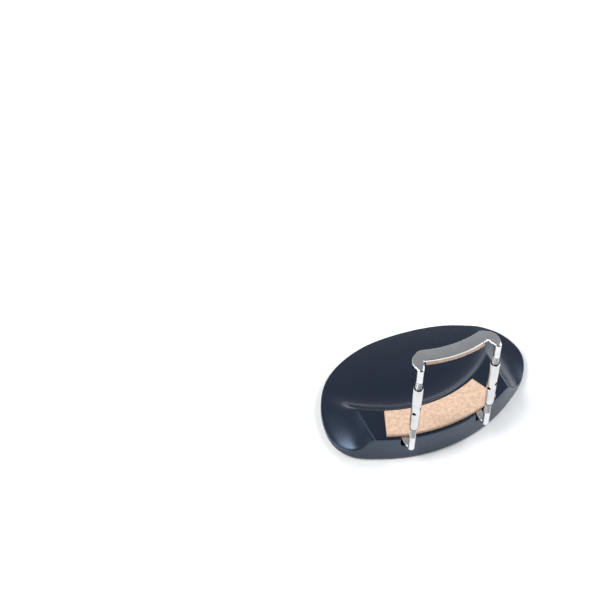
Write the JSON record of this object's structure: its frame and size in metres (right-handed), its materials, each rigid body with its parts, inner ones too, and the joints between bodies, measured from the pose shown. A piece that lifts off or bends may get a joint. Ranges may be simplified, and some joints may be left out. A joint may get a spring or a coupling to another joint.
{
  "type": "violin chin rest",
  "caption": "Side-mounted chin rest: a black oval cup with a foot, held to a violin or viola edge by a cork-faced bracket clamp with turning barrels.",
  "frame": {"origin": "on the belly cork's face, 12 mm in from the line of the two legs, midway between them", "axes": "+Z out of the belly cork towards the clamp's upper bracket, +X along the line of the legs, +Y in over the instrument; the cup opens towards -Z"},
  "size_m": [0.107, 0.0741, 0.0701],
  "materials": {
    "ebony": "polished black",
    "cork": "sanded fine-grain cork",
    "nickel": "polished nickel plate",
    "screw_steel": "plain bright steel"
  },
  "bodies": {
    "rest": {"chin_plate": "ebony", "belly_cork": "cork", "lower_bracket": "nickel", "left_wood_screw": "screw_steel", "right_wood_screw": "screw_steel"},
    "clamp": {"upper_bracket": "nickel", "back_cork": "cork"},
    "left_turnbuckle": {"left_barrel": "nickel"},
    "right_turnbuckle": {"right_barrel": "nickel"}
  },
  "joints": [
    {"name": "clamp_travel", "type": "slide", "parent": "rest", "child": "clamp", "axis": [0, 0, 1], "range_m": [-0.008, 0.006]},
    {"name": "left_barrel_turn", "type": "hinge", "parent": "rest", "child": "left_turnbuckle", "pos_m": [-0.019, -0.012, 0.0245], "axis": [0, 0, 1], "range_deg": [-2880.5, 2160.5]},
    {"name": "right_barrel_turn", "type": "hinge", "parent": "rest", "child": "right_turnbuckle", "pos_m": [0.019, -0.012, 0.0245], "axis": [0, 0, 1], "range_deg": [-2880.5, 2160.5]}
  ],
  "couplings": [
    {"joint": "left_barrel_turn", "follows": "clamp_travel", "rad_per_m": 6283.2},
    {"joint": "right_barrel_turn", "follows": "clamp_travel", "rad_per_m": 6283.2}
  ]
}
